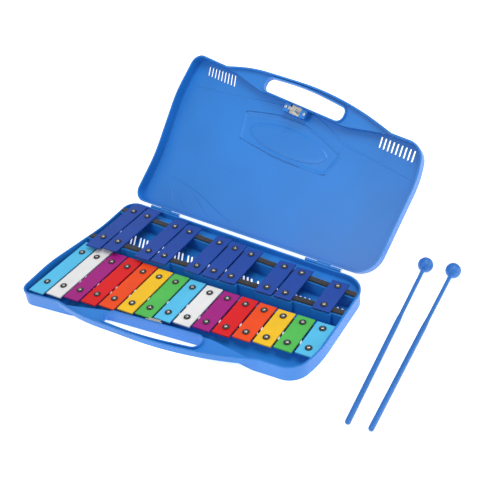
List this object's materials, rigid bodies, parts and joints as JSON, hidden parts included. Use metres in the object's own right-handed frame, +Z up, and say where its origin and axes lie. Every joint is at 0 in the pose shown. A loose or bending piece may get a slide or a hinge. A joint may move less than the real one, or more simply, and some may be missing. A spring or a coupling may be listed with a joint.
{
  "type": "glockenspiel in hinged case",
  "caption": "Toy metal-bar glockenspiel with coloured natural and dark sharp bars in a hinged plastic carry case with finger slots, plus two ball-headed mallets.",
  "frame": {"origin": "middle of the tray's flat underside", "axes": "+X along the bar rows from low to high notes, +Y from the handle towards the hinge, +Z up"},
  "size_m": [0.4742, 0.3968, 0.1803],
  "materials": {
    "bar_sky": "satin",
    "bar_white": "satin",
    "bar_purple": "satin",
    "bar_red": "satin",
    "bar_orange": "satin",
    "bar_yellow": "satin",
    "bar_green": "satin",
    "bar_navy": "satin",
    "felt": "matt",
    "case": "fine satin texture",
    "bright_metal": "bright",
    "screw": "polished",
    "grommet": "matt",
    "mallet": "satin"
  },
  "bodies": {
    "tray": {"bar_g5": "bar_sky", "bar_a5": "bar_white", "bar_b5": "bar_purple", "bar_c6": "bar_red", "bar_d6": "bar_orange", "bar_e6": "bar_yellow", "bar_f6": "bar_green", "bar_g6": "bar_sky", "bar_a6": "bar_white", "bar_b6": "bar_purple", "bar_c7": "bar_red", "bar_d7": "bar_orange", "bar_e7": "bar_yellow", "bar_f7": "bar_green", "bar_g7": "bar_sky", "bar_gs5": "bar_navy", "bar_as5": "bar_navy", "bar_cs6": "bar_navy", "bar_ds6": "bar_navy", "bar_fs6": "bar_navy", "bar_gs6": "bar_navy", "bar_as6": "bar_navy", "bar_cs7": "bar_navy", "bar_ds7": "bar_navy", "bar_fs7": "bar_navy", "felt_natural_front": "felt", "felt_natural_back": "felt", "felt_sharp_front": "felt", "felt_sharp_back": "felt", "tray_shell": "case", "hinge_pin_left": "bright_metal", "hinge_pin_right": "bright_metal", "catch_plate": "bright_metal", "catch_rivets": "bright_metal", "natural_screws": "screw", "sharp_screws": "screw", "natural_grommets": "grommet", "sharp_grommets": "grommet"},
    "lid": {"lid_shell": "case", "latch_housing": "case", "latch_screws": "bright_metal"},
    "latch": {"latch_slide": "bright_metal"},
    "mallet_left": {"mallet_left_stick": "mallet", "mallet_left_head": "mallet"},
    "mallet_right": {"mallet_right_stick": "mallet", "mallet_right_head": "mallet"}
  },
  "joints": [
    {"name": "lid_hinge", "type": "hinge", "parent": "tray", "child": "lid", "pos_m": [-0.18855, 0.12289, 0.0202], "axis": [0.9961, -0.0881, 0], "range_deg": [0, 134.5]},
    {"name": "latch_travel", "type": "slide", "parent": "lid", "child": "latch", "axis": [0.2153, 0.6761, 0.7046], "range_m": [0, 0.003]},
    {"name": "mallet_left_lift", "type": "slide", "parent": "tray", "child": "mallet_left", "axis": [0, 0, 1], "range_m": [0, 0.2]},
    {"name": "mallet_right_lift", "type": "slide", "parent": "tray", "child": "mallet_right", "axis": [0, 0, 1], "range_m": [0, 0.2]}
  ]
}
